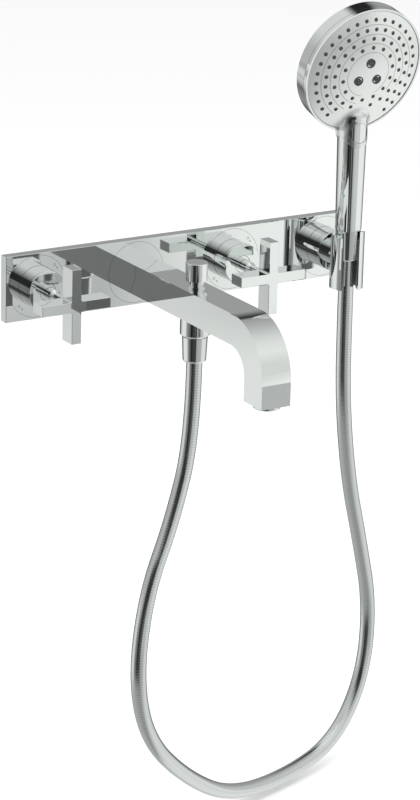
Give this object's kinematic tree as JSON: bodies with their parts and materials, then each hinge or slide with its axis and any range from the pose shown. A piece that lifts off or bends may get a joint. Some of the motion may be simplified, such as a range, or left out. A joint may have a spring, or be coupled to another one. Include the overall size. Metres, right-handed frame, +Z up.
{
  "type": "wall mounted bath faucet",
  "caption": "Wall mounted bath mixer with cross handles on a long plate, square-section spout with diverter, hose and round hand shower in a holder.",
  "frame": {"origin": "centre of the front plate's back face, on the wall plane", "axes": "+X right along the wall, +Y into the wall, +Z up; the spout points along -Y"},
  "size_m": [0.4135, 0.287, 0.7824],
  "materials": {
    "polished_chrome": "polished chrome plate on brass",
    "plated_plastic": "polished chrome plate on moulded plastic",
    "satin_face": "satin metallic plastic",
    "metallic_hose": "clear sleeve over a metallic spiral",
    "black_rubber": "matte",
    "nozzle_rubber": "soft matte silicone",
    "raw_brass": "machined",
    "stainless_steel": "bright rolled",
    "white_ceramic": "lapped",
    "grey_plastic": "moulded"
  },
  "bodies": {
    "root": {"aerator_housing": "polished_chrome", "aerator_insert": "grey_plastic", "aerator_washer": "black_rubber", "check_valve": "grey_plastic", "clip_screw": "stainless_steel", "cold_cartridge": "raw_brass", "cold_rosette": "polished_chrome", "cold_sleeve": "polished_chrome", "diverter_gland": "polished_chrome", "fixed_ceramic_discs": "white_ceramic", "front_plate": "polished_chrome", "grub_screws": "stainless_steel", "holder_clip": "polished_chrome", "holder_liner": "grey_plastic", "holder_post": "polished_chrome", "holder_rosette": "polished_chrome", "holder_screw": "stainless_steel", "holder_sleeve": "polished_chrome", "hot_cartridge": "raw_brass", "hot_rosette": "polished_chrome", "hot_sleeve": "polished_chrome", "mounting_rail": "stainless_steel", "o_rings": "black_rubber", "outlet_collar": "polished_chrome", "outlet_hose_nut": "polished_chrome", "outlet_hose_washer": "black_rubber", "plate_gasket": "black_rubber", "shower_hose": "metallic_hose", "spout_body": "polished_chrome", "spout_nipple": "raw_brass", "spout_rosette": "polished_chrome", "trim_rings": "polished_chrome", "valve_manifold": "raw_brass"},
    "hot_handle": {"hot_cross_handle": "polished_chrome", "hot_stem": "polished_chrome", "hot_grub_screw": "stainless_steel", "hot_spindle": "raw_brass", "hot_turning_disc": "white_ceramic"},
    "cold_handle": {"cold_cross_handle": "polished_chrome", "cold_stem": "polished_chrome", "cold_grub_screw": "stainless_steel", "cold_spindle": "raw_brass", "cold_turning_disc": "white_ceramic"},
    "diverter": {"diverter_knob": "polished_chrome", "diverter_rod": "raw_brass", "diverter_seal": "black_rubber"},
    "hose_end": {"handset_hose_nut": "polished_chrome", "handset_hose_washer": "black_rubber"},
    "handset": {"handset_handle": "plated_plastic", "handset_connector": "raw_brass", "handset_waterway": "grey_plastic", "spray_selector": "grey_plastic", "button_spring": "stainless_steel", "head_shell": "plated_plastic", "head_bezel": "plated_plastic", "spray_face": "satin_face", "nozzle_mat": "nozzle_rubber", "centre_jets": "nozzle_rubber", "chamber_plate": "grey_plastic"},
    "select_button": {"select_button": "plated_plastic"}
  },
  "joints": [
    {"name": "hot_handle_turn", "type": "hinge", "parent": "root", "child": "hot_handle", "pos_m": [-0.1575, -0.0765, 0], "axis": [0, -1, 0], "range_deg": [0, 90]},
    {"name": "cold_handle_turn", "type": "hinge", "parent": "root", "child": "cold_handle", "pos_m": [0.0525, -0.0765, 0], "axis": [0, 1, 0], "range_deg": [0, 90]},
    {"name": "diverter_pull", "type": "slide", "parent": "root", "child": "diverter", "axis": [0, 0, 1], "range_m": [0, 0.01]},
    {"name": "handset_lift", "type": "slide", "parent": "root", "child": "hose_end", "axis": [0, 0, 1], "range_m": [0, 0.06]},
    {"name": "handset_swivel", "type": "hinge", "parent": "hose_end", "child": "handset", "pos_m": [0.1575, -0.0515, 0.0277], "axis": [0, 0, 1], "range_deg": [-60, 60]},
    {"name": "select_button_press", "type": "slide", "parent": "handset", "child": "select_button", "axis": [0, 1, 0], "range_m": [0, 0.0015], "stiffness_N_per_m": 800, "deforming": ["button_spring"]}
  ]
}
